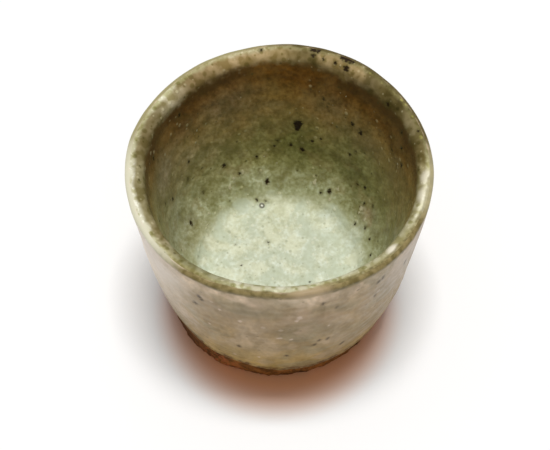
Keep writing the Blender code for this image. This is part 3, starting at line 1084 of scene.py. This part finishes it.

# %% [markdown]
# Stains, curdle and pool
# Ash glaze never melts evenly. Stains lie where it ran thick or thin, and those that show on the real cup are
# set by angle and height. Some dark ones just under the lip are partly painted shade of the lip. The melt
# curdles into fine light and dark grain, and on the floor it sets to a greyish and creamy scum with pinholes.
# Each is one tint over the colours below it, as a potter would think of layers. One noise for everything
# would be shorter, but it would look like stone.

# %% Stains and painted shade on the wall
pool = rise(tree, level, 0.0140, 0.0105)
wall = rise(tree, level, 0.0120, 0.0180)
upper = rise(tree, height, 0.034, 0.050)
LINING_STAINS_AND_PAINTED_SHADE = (
    # angle in degrees, height in mm, reach in mm, strength, colour
    (80, 29, 15, 0.80, (0.214, 0.200, 0.048)),
    (45, 24, 16, 0.68, (0.240, 0.232, 0.075)),
    (172, 24, 18, 0.75, (0.450, 0.445, 0.292)),
    (160, 13, 13, 0.70, (0.500, 0.475, 0.295)),
    (130, 24, 12, 0.50, (0.395, 0.348, 0.168)),
    (20, 30, 18, 0.50, (0.250, 0.250, 0.085)),
    (168, 46, 22, 0.65, (0.235, 0.180, 0.092)),
    (10, 44, 22, 0.60, (0.250, 0.168, 0.048)),
    # the next four, dark brown just under the lip, are partly the glaze's brown and partly painted shade
    # under the lip
    (52, 53, 12, 0.35, (0.170, 0.085, 0.018)),
    (24, 54.5, 12, 0.75, (0.115, 0.072, 0.021)),
    (44, 52, 10, 0.40, (0.115, 0.066, 0.017)),
    (166, 55.0, 9, 0.60, (0.115, 0.076, 0.026)),
    (40, 22, 5, 0.40, (0.130, 0.130, 0.036)),
    (30, 18, 4, 0.40, (0.135, 0.125, 0.038)),
    (21, 15.5, 4, 0.40, (0.150, 0.135, 0.044)),
    (25, 18.5, 4, 0.80, (0.420, 0.330, 0.210)),
    (125, 50, 12, 0.50, (0.180, 0.120, 0.060)),
    (145, 35, 10, 0.65, (0.500, 0.410, 0.225)),
    (128, 32, 8, 0.50, (0.460, 0.375, 0.190)),
    (166, 44, 8, 0.65, (0.420, 0.345, 0.220)),
    (142, 50, 9, 0.50, (0.150, 0.105, 0.056)),
    (112, 47, 12, 0.50, (0.225, 0.172, 0.096)),
    (65, 47, 11, 0.50, (0.215, 0.168, 0.082)),
    (77, 25, 11, 0.45, (0.130, 0.135, 0.043)),
    (46, 26, 8, 0.45, (0.105, 0.105, 0.033)),
    (24, 22.5, 8, 0.40, (0.135, 0.132, 0.045)),
    (42, 41, 10, 0.45, (0.100, 0.076, 0.028)),
    (18, 46, 8, 0.40, (0.100, 0.074, 0.028)),
)
for angle, mm, reach, strength, stain_and_painted_light in LINING_STAINS_AND_PAINTED_SHADE:
    spread = patch_at(tree, loose, on_wall(angle, mm / 1000), reach, 0, strength)
    colour = tint(tree, spread, colour, stain_and_painted_light)
print("stains and painted shade on the lining:", len(LINING_STAINS_AND_PAINTED_SHADE))

# %% Curdled and grainy wall
DEEPER = (0.70, 0.68, 0.52)
PALER = (1.27, 1.29, 1.42)
curdled = times(tree, rise(tree, wall, 0.0, 1.0, 0.32, 0.65), calm)
colour = mottled(tree, colour, curdle, curdled, DEEPER, PALER)
fine_grain = clouds(tree, sloping, size=0.0010, detail=1.0)
grainy = times(tree, rise(tree, wall, 0.0, 1.0, 0.50, 1.00), calm)
colour = mottled(tree, colour, fine_grain, grainy, (0.78, 0.78, 0.72), (1.20, 1.24, 1.40))
lower_wall = calculate(tree, "SUBTRACT", wall, upper)
mossy = times(tree, times(tree, lower_wall, rise(tree, patch["Broad"], 0.55, 0.95)), 0.40)
colour = tint(tree, mossy, colour, (0.220, 0.205, 0.066))
sandy = times(tree, times(tree, wall, rise(tree, patch["Broad"], 0.45, 0.05)), 0.25)
colour = tint(tree, sandy, colour, (0.340, 0.240, 0.100))
print("nodes so far:", len(tree.nodes))

# %% Pool on the floor, and the upper wall
scum = clouds(tree, place, size=0.0065, detail=4.0, wobble=0.4)
greyish = times(tree, times(tree, pool, rise(tree, scum, 0.54, 0.36)), 0.7)
colour = tint(tree, greyish, colour, (0.540, 0.590, 0.450))
creamy = times(tree, times(tree, pool, rise(tree, scum, 0.48, 0.64)), 0.6)
colour = tint(tree, creamy, colour, (0.770, 0.785, 0.600))
pinholes = grains(tree, place, spacing=0.0017, width=0.00095, share=0.40, where=pool)
colour = tint(tree, times(tree, pinholes, 0.6), colour, (0.400, 0.420, 0.285))
darker = times(tree, times(tree, wall, rise(tree, runs, 0.50, 0.68)), 0.35)
colour = tint(tree, darker, colour, (0.130, 0.105, 0.030))
# darker towards the lip: partly the iron brown of the upper wall, partly painted shade under the lip
brown_and_shade_under_lip = rise(tree, shifted(tree, height, drift, 0.012), 0.0455, 0.0535, 0.0, 0.75)
colour = tint(tree, brown_and_shade_under_lip, colour, (0.75, 0.60, 0.37), "MULTIPLY")
copper = times(tree, times(tree, upper, rise(tree, level_lines, 0.50, 0.68)), 0.14)
colour = tint(tree, copper, colour, (0.270, 0.165, 0.042))
print("nodes so far:", len(tree.nodes))

# %% [markdown]
# The lip
# Glaze creeps away from a lip, so the lip is a band of its own: a bevel towards the inside, a worn crest, and
# a thin outer edge. Its colour changes all the way round, from cream on the left to dark olive on the right.
# A dark band under it is painted shade, where the lip shades the wall. Moss green specks and cream dots are
# strewn over it, with yellow specks that are partly painted sparkle, and a few cream spots are painted
# highlights. The patches are again set by angle, so that each can be moved by itself. A picture wrapped round
# the rim would be harder to change.

# %% Patches on the lip
LIP_PATCHES = (
    # angle in degrees, reach and core in mm, strength, colour of the bevel, colour of the crest
    # the near-white crests at 152 and -11, on the left and right, are partly painted highlight
    (90, 17, 4, 0.9, (0.345, 0.250, 0.104), (0.330, 0.290, 0.135)),
    (114, 17, 5, 0.9, (0.400, 0.285, 0.130), (0.540, 0.480, 0.285)),
    (131, 13, 2, 0.8, (0.230, 0.160, 0.066), (0.400, 0.360, 0.180)),
    (152, 14, 4, 0.9, (0.470, 0.410, 0.250), (0.900, 0.880, 0.660)),
    (170, 18, 6, 0.9, (0.190, 0.145, 0.060), (0.440, 0.410, 0.220)),
    (196, 20, 6, 0.9, (0.250, 0.215, 0.102), (0.760, 0.730, 0.560)),
    (-75, 48, 12, 0.9, (0.590, 0.575, 0.400), (0.560, 0.545, 0.350)),
    (-125, 14, 5, 0.9, (0.270, 0.255, 0.130), (0.310, 0.270, 0.115)),
    (-67, 11, 3, 0.8, (0.480, 0.460, 0.280), (0.420, 0.385, 0.195)),
    (-50, 12, 4, 0.8, (0.500, 0.470, 0.290), (0.400, 0.360, 0.195)),
    (-30, 9, 3, 0.8, (0.420, 0.390, 0.220), (0.340, 0.300, 0.145)),
    (-11, 16, 4, 0.9, (0.400, 0.360, 0.200), (0.900, 0.860, 0.610)),
    (3, 12, 2, 0.8, (0.240, 0.195, 0.078), (0.560, 0.525, 0.285)),
    (43, 31, 20, 0.95, (0.118, 0.088, 0.025), (0.140, 0.114, 0.035)),
    (52, 8, 2, 0.75, (0.245, 0.190, 0.095), (0.170, 0.140, 0.048)),
    (63, 10, 5, 0.90, (0.380, 0.275, 0.122), (0.270, 0.220, 0.092)),
    (33, 7, 2, 0.70, (0.080, 0.060, 0.017), (0.250, 0.215, 0.085)),
    (20, 8, 2, 0.75, (0.250, 0.205, 0.100), (0.190, 0.160, 0.060)),
)
wear = worn_lip(tree, place, radius, height)
bevel = tint(tree, patch["Fine"], (0.240, 0.175, 0.075), (0.350, 0.270, 0.140))
crest = tint(tree, patch["Fine"], (0.330, 0.300, 0.130), (0.600, 0.560, 0.340))
for angle, reach, core, strength, bevel_patch, crest_patch in LIP_PATCHES:
    spread = patch_at(tree, loose, on_seam(angle), reach, core, strength)
    bevel = tint(tree, spread, bevel, bevel_patch)
    crest = tint(tree, spread, crest, crest_patch)
print("patches on the lip:", len(LIP_PATCHES))

# %% Painted shade under the lip, bevel and crest
PAINTED_CREASE_SHADES = (
    # angle in degrees, reach and core in mm, strength
    (28, 31, 15, 0.70),
    (178, 31, 15, 0.60),
    (124, 18, 6, 0.65),
)
lip_start = shifted(tree, shifted(tree, height, patch["Broad"], 0.0018), patch["Fine"], 0.0006)
lower = near(tree, place, on_seam(60), reach=0.021, core=0.004)
lip_start = calculate(tree, "ADD", lip_start, times(tree, lower, 0.0016))
upper_lip = rise(tree, lip_start, CUP_HEIGHT - 0.0042, CUP_HEIGHT - 0.0016)
painted_crease_shade = rise(tree, lip_start, CUP_HEIGHT - 0.0088, CUP_HEIGHT - 0.0052)
# painted shade: a dark band on the wall just under the lip, where the lip shades it
for angle, reach, core, strength in PAINTED_CREASE_SHADES:
    stretch = patch_at(tree, place, on_seam(angle), reach, core, strength)
    colour = tint(tree, times(tree, stretch, painted_crease_shade), colour, (0.062, 0.036, 0.011))
lip_deep = rise(tree, curdle, 0.52, 0.38)
bevel = tint(tree, lip_deep, bevel, DEEPER, "MULTIPLY")
crest = tint(tree, lip_deep, crest, DEEPER, "MULTIPLY")
bevel = tint(tree, rise(tree, curdle, 0.52, 0.66), bevel, PALER, "MULTIPLY")
crest = tint(tree, rise(tree, fine_grain, 0.52, 0.66), crest, PALER, "MULTIPLY")
colour = tint(tree, upper_lip, colour, bevel)
colour = tint(tree, wear["Crest"], colour, crest)
print("painted crease shades under the lip:", len(PAINTED_CREASE_SHADES))

# %% Moss, dots, painted sparkle and painted highlights
lip_share = calculate(tree, "MAXIMUM", wear["Crest"], upper_lip)
moss = grains(tree, place, spacing=0.0019, width=0.0016, share=0.50, where=lip_share)
colour = tint(tree, times(tree, moss, 0.85), colour, (0.58, 0.58, 0.38), "MULTIPLY")
cream_dots = grains(tree, place, spacing=0.0016, width=0.0008, share=0.40, where=lip_share)
colour = tint(tree, times(tree, cream_dots, 0.7), colour, (0.220, 0.200, 0.120), "SCREEN")
# yellow specks along the right crest: partly the glaze's colour, partly painted sparkle of light
right_crest = times(tree, near(tree, place, on_edge(38), reach=0.028, core=0.016), wear["Crest"])
specks_and_painted_glints = grains(tree, place, spacing=0.0014, width=0.0013, share=0.45, where=right_crest)
colour = tint(tree, times(tree, specks_and_painted_glints, 0.70), colour, (0.440, 0.405, 0.115))
# painted highlights: cream spots where the glossy lip catches the overhead light
LIP_PAINTED_HIGHLIGHTS = (
    # angle in degrees, distance from the axis and reach in mm, strength
    (-42, 37.7, 2.5, 0.90), (-98, 38.0, 2.0, 0.40), (-81, 38.0, 2.0, 0.45), (-14, 38.5, 3.8, 0.60),
    (-6, 38.5, 3.2, 0.60),
)
for angle, mm, reach, strength in LIP_PAINTED_HIGHLIGHTS:
    painted_highlight = patch_at(tree, place, around_axis(angle, mm / 1000, CUP_HEIGHT), reach, reach / 3, strength)
    colour = tint(tree, painted_highlight, colour, (0.860, 0.800, 0.640))
edge_colour = tint(tree, patch["Fine"], (0.140, 0.110, 0.040), (0.290, 0.240, 0.100))
edge_colour = edge_of_lip(tree, loose, edge_colour)
colour = tint(tree, times(tree, wear["Edge"], 0.85), colour, edge_colour)
print("painted highlights on the lip:", len(LIP_PAINTED_HIGHLIGHTS))

# %% Grains, crusts and iron spots
cluster = calculate(tree, "MAXIMUM", rise(tree, drift, 0.42, 0.56), pool)
pale = grains(tree, place, spacing=0.0020, width=0.00120, share=0.42, where=cluster)
colour = tint(tree, times(tree, pale, 0.9), colour, (0.240, 0.215, 0.125), "SCREEN")
crust = shifted(tree, attribute(tree, "from_fleck"), clouds(tree, place, size=0.0008), 0.0012)
crust = rise(tree, crust, 0.0001, -0.0002)
colour = tint(tree, times(tree, crust, 0.80), colour, (0.560, 0.520, 0.340))
dark = grains(tree, place, spacing=0.0026, width=0.00090, share=0.32, where=wall)
colour = tint(tree, times(tree, dark, 0.65), colour, (0.075, 0.062, 0.018))
ragged = shifted(tree, attribute(tree, "from_spot"), clouds(tree, place, size=0.0007), 0.0014)
halo = rise(tree, ragged, 0.0009, -0.0002)
halo = times(tree, halo, rise(tree, pool, 0.0, 1.0, 0.55, 0.25))
colour = tint(tree, halo, colour, (0.090, 0.075, 0.018))
iron = rise(tree, ragged, 0.00022, -0.00030)
colour = tint(tree, iron, colour, (0.020, 0.010, 0.002))
print("nodes so far:", len(tree.nodes))

# %% Giving a piece its finish
def dress(piece, material, shader, colour, sheen, relief, depth, gloss):
    """Links colour, roughness and a bump of this depth to the shader, and gives the piece its material."""
    tree = material.node_tree
    bump = add_node(tree, "ShaderNodeBump", {"Height": relief, "Distance": depth}).outputs["Normal"]
    for socket, source in (("Base Color", colour), ("Roughness", sheen), ("Normal", bump)):
        tree.links.new(source, shader.inputs[socket])
    shader.inputs["Specular IOR Level"].default_value = gloss
    piece.data.materials.append(material)
    print(piece.name, "has a finish of", len(tree.nodes), "nodes")


# %% Burst bubble, gloss and bump of the lining
LINING_BUMP = 0.00022
LINING_GLOSS = 0.08
bubble = attribute(tree, "from_bubble")
ring = times(tree, rise(tree, bubble, 0.0003, 0.0005), rise(tree, bubble, 0.0011, 0.0007))
colour = tint(tree, times(tree, ring, 0.85), colour, (0.130, 0.120, 0.100))
colour = tint(tree, rise(tree, bubble, 0.0004, 0.0002), colour, (0.850, 0.840, 0.780))
sheen = rise(tree, patch["Fine"], 0.0, 1.0, 0.38, 0.58)
relief = calculate(tree, "ADD", curdle, times(tree, calculate(tree, "MAXIMUM", pale, crust), 0.5))
relief = calculate(tree, "SUBTRACT", relief, times(tree, iron, 0.5))
dress(lining, lining_finish, shader, colour, sheen, relief, LINING_BUMP, LINING_GLOSS)

# %% [markdown]
# Buff coat
# The outside was dipped in a thinner glaze, which fired to a satin buff. It is pinkish under the lip, greyer
# on the belly, golden lower down and burnt brown at its very end. Its zones are a ramp over the height again.
# Soft noise, drawn out along a slope, blotches them. On the left and right, where the wall is seen almost
# edge on, such noise would look like hair, so a finer grain takes over there. Patches, pale flecks and dark
# grains lie on top; a few pale patches towards the sides are painted reflection, and two dark ones low on the
# left are painted shade. One flat colour with a bump would look like plastic, because a real glaze changes
# with its thickness.

# %% Coat colour
COAT_ZONES = (
    # height in mm, colour
    (4.9, (0.336, 0.156, 0.056)), (5.7, (0.356, 0.231, 0.084)), (9.0, (0.393, 0.264, 0.084)),
    (16.0, (0.383, 0.260, 0.096)), (26.0, (0.361, 0.253, 0.115)), (42.0, (0.361, 0.250, 0.120)),
    (51.0, (0.381, 0.274, 0.148)), (55.0, (0.486, 0.364, 0.221)), (58.0, (0.616, 0.476, 0.321)),
    (60.5, (0.636, 0.496, 0.336)),
)
coat_finish, tree, shader = new_material("buff_coat")
place = object_place(tree)
loose = wander(tree, place, size=0.006, amount=0.005)
height = attribute(tree, "turned_height")
radius = attribute(tree, "turned_radius")
patch = use_group(tree, mottle, Place=place, Size=0.009)
calm = calm_sides(tree, place, start=0.014, least=0.30)
sloping = slanted(tree, place, stretch=2.4)
blotch = clouds(tree, sloping, size=0.0044, detail=2.0, wobble=0.3)
drift = clouds(tree, place, size=0.013, detail=2.0, wobble=0.4)
level = shifted(tree, height, patch["Broad"], 0.0050)
colour = ramp(tree, level, COAT_ZONES)
colour = tint(tree, rise(tree, drift, 0.50, 0.62, 0.0, 0.72), colour, (0.298, 0.238, 0.131))
colour = tint(tree, rise(tree, drift, 0.50, 0.38, 0.0, 0.62), colour, (0.446, 0.334, 0.214))
fine_grain = clouds(tree, sloping, size=0.0012, detail=1.0)
colour = mottled(tree, colour, blotch, calm, (0.79, 0.78, 0.72), (1.20, 1.19, 1.21))
colour = mottled(tree, colour, fine_grain, calm, (0.93, 0.92, 0.89), (1.07, 1.07, 1.08))
side_grain = clouds(tree, place, size=0.0008, detail=2.0)
on_sides = rise(tree, calm, 0.9, 0.4)
colour = mottled(tree, colour, side_grain, on_sides, (0.86, 0.85, 0.80), (1.13, 1.13, 1.15))
print("zones on the coat:", len(COAT_ZONES))

# %% Stains, painted light and burnt end of the coat
COAT_STAINS_AND_PAINTED_LIGHT = (
    # angle in degrees, height in mm, reach in mm, strength, colour
    # the first three, pale towards the left and right sides, are painted reflection of the white room on the
    # wall
    (-168, 46, 39, 1.00, (0.960, 0.845, 0.710)),
    (-145, 52, 17, 0.85, (0.760, 0.665, 0.565)),
    (-32, 48, 22, 0.70, (0.550, 0.468, 0.385)),
    (-84, 45, 16, 0.40, (0.306, 0.216, 0.114)),
    (-112, 46, 12, 0.35, (0.316, 0.231, 0.131)),
    (-100, 20, 16, 0.40, (0.396, 0.286, 0.126)),
    (-66, 26, 14, 0.35, (0.306, 0.231, 0.124)),
    (-72, 38, 9, 0.45, (0.276, 0.218, 0.124)),
    (-104, 51, 8, 0.45, (0.286, 0.231, 0.141)),
    (-48, 48, 7, 0.55, (0.276, 0.226, 0.146)),
    (-82, 48, 5, 0.60, (0.526, 0.376, 0.251)),
    (-80, 40, 4, 0.60, (0.496, 0.351, 0.226)),
    (-64, 27, 6, 0.45, (0.476, 0.361, 0.236)),
    (-56, 20, 7, 0.50, (0.486, 0.386, 0.261)),
    (-117, 27, 7, 0.40, (0.466, 0.346, 0.216)),
    # the next two darken the coat low on the left: painted shade near the foot
    (-152, 24, 17, 0.60, (0.300, 0.215, 0.125)),
    (-140, 14, 11, 0.60, (0.230, 0.152, 0.072)),
    (-44, 24, 19, 0.55, (0.255, 0.188, 0.105)),
    (-64, 13, 11, 0.45, (0.270, 0.190, 0.092)),
    (-86, 60, 5, 0.60, (0.700, 0.570, 0.410)),
    (-97, 57, 7, 0.40, (0.600, 0.435, 0.305)),
    (-72, 46, 7, 0.40, (0.440, 0.312, 0.200)),
)
for angle, mm, reach, strength, stain_and_painted_light in COAT_STAINS_AND_PAINTED_LIGHT:
    spread = patch_at(tree, loose, on_coat(angle, mm / 1000), reach, 0, strength)
    colour = tint(tree, spread, colour, stain_and_painted_light)
burnt = rise(tree, shifted(tree, height, patch["Fine"], 0.0040), 0.0098, 0.0048, 0.0, 0.92)
colour = tint(tree, burnt, colour, (0.140, 0.066, 0.020))
print("stains and painted light on the coat:", len(COAT_STAINS_AND_PAINTED_LIGHT))

# %% Coat grains, lip edge and gloss
COAT_BUMP = 0.00014
COAT_GLOSS = 0.10
fleck = grains(tree, place, spacing=0.0042, width=0.0014, share=0.25)
colour = tint(tree, times(tree, fleck, 0.35), colour, (0.620, 0.480, 0.370))
dark = grains(tree, place, spacing=0.0028, width=0.00100, share=0.25)
colour = tint(tree, times(tree, dark, 0.55), colour, (0.150, 0.105, 0.046))
placed_fleck = shifted(tree, attribute(tree, "from_fleck"), clouds(tree, place, size=0.0012), 0.0010)
placed_fleck = rise(tree, placed_fleck, 0.0003, -0.0004)
colour = tint(tree, times(tree, placed_fleck, 0.7), colour, (0.680, 0.540, 0.420))
wear = worn_lip(tree, place, radius, height)
edge_colour = tint(tree, patch["Fine"], (0.150, 0.115, 0.038), (0.290, 0.225, 0.095))
edge_colour = edge_of_lip(tree, loose, edge_colour)
colour = tint(tree, wear["Edge"], colour, edge_colour)
ragged = shifted(tree, attribute(tree, "from_spot"), clouds(tree, place, size=0.0009), 0.0012)
colour = tint(tree, rise(tree, ragged, 0.0007, -0.0004, 0.0, 0.90), colour, (0.075, 0.048, 0.016))
sheen = rise(tree, patch["Fine"], 0.0, 1.0, 0.32, 0.48)
relief = times(tree, blotch, calm)
relief = calculate(tree, "ADD", relief, times(tree, fleck, 0.3))
dress(coat, coat_finish, shader, colour, sheen, relief, COAT_BUMP, COAT_GLOSS)

# %% [markdown]
# Bare clay
# Below the coat the fired clay shows: rough, dark red brown, orange where the edge of the glaze drew iron out
# of it, and ruddy, sooty or smoked where the flame touched it. Under the foot, which the flame didn't reach,
# it is a plain brown with the rings of the trimming tool. Coarse grit catches the light as pale crumbs. The
# colour follows lumps of two sizes, and the shape is already rough, so the bump only adds grains finer than
# the mesh.

# %% Clay finish
CLAY_BUMP = 0.00020
CLAY_GLOSS = 0.08
clay_finish, tree, shader = new_material("bare_clay")
place = object_place(tree)
patch = use_group(tree, mottle, Place=place, Size=0.005)
height = attribute(tree, "turned_height")
colour = tint(tree, patch["Broad"], (0.062, 0.027, 0.006), (0.345, 0.138, 0.031))
colour = tint(tree, rise(tree, patch["Fine"], 0.50, 0.15, 0.0, 0.6), colour, (0.50, 0.46, 0.40), "MULTIPLY")
ruddy = near(tree, place, around_axis(-121, FOOT_RADIUS, FOOT_BEVEL), reach=0.010, core=0.003)
ruddy = times(tree, ruddy, rise(tree, patch["Fine"], 0.40, 0.75))
colour = tint(tree, times(tree, ruddy, 0.85), colour, (0.400, 0.115, 0.048))
sooty = near(tree, place, around_axis(-143, FOOT_RADIUS, GLAZE_LINE), reach=0.014, core=0.004)
colour = tint(tree, times(tree, sooty, 0.75), colour, (0.092, 0.035, 0.012))
smoked = near(tree, place, around_axis(-72, FOOT_RADIUS, FOOT_BEVEL), reach=0.024, core=0.012)
colour = tint(tree, times(tree, smoked, 0.20), colour, (0.085, 0.028, 0.008))
halo = rise(tree, shifted(tree, height, patch["Fine"], 0.0020), 0.0030, 0.0050)
halo = calculate(tree, "MAXIMUM", halo, patch["Broad"])
orange = times(tree, rise(tree, patch["Fine"], 0.45, 0.85), halo)
colour = tint(tree, times(tree, orange, 0.40), colour, (0.350, 0.122, 0.034))
radius = attribute(tree, "turned_radius")
under = rise(tree, radius, FOOT_RADIUS - FOOT_BEVEL, FOOT_RADIUS - 3 * FOOT_BEVEL)
colour = tint(tree, times(tree, under, 0.70), colour, (0.150, 0.062, 0.020))
crumbs = grains(tree, place, spacing=0.0013, width=0.00070, share=0.22)
colour = tint(tree, times(tree, crumbs, 0.5), colour, (0.360, 0.180, 0.085))
sheen = rise(tree, patch["Fine"], 0.0, 1.0, 0.70, 0.92)
relief = calculate(tree, "ADD", clouds(tree, place, size=0.0006), times(tree, crumbs, 0.6))
dress(clay, clay_finish, shader, colour, sheen, relief, CLAY_BUMP, CLAY_GLOSS)

# %% [markdown]
# Handing the pieces to the frame
# Each surface now takes the place of one solid of the frame, rides on its body and names the record's
# material slot.

# %% Fit the pieces to the frame
for piece, node, slot in (
    (clay, "stoneware_body", "bare_clay"),
    (lining, "inner_glaze", "celadon_lining"),
    (coat, "outer_glaze", "buff_coat"),
):
    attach(piece, "root")
    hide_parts(node)
    print(piece.name, "replaces", node, "with the finish", slot)
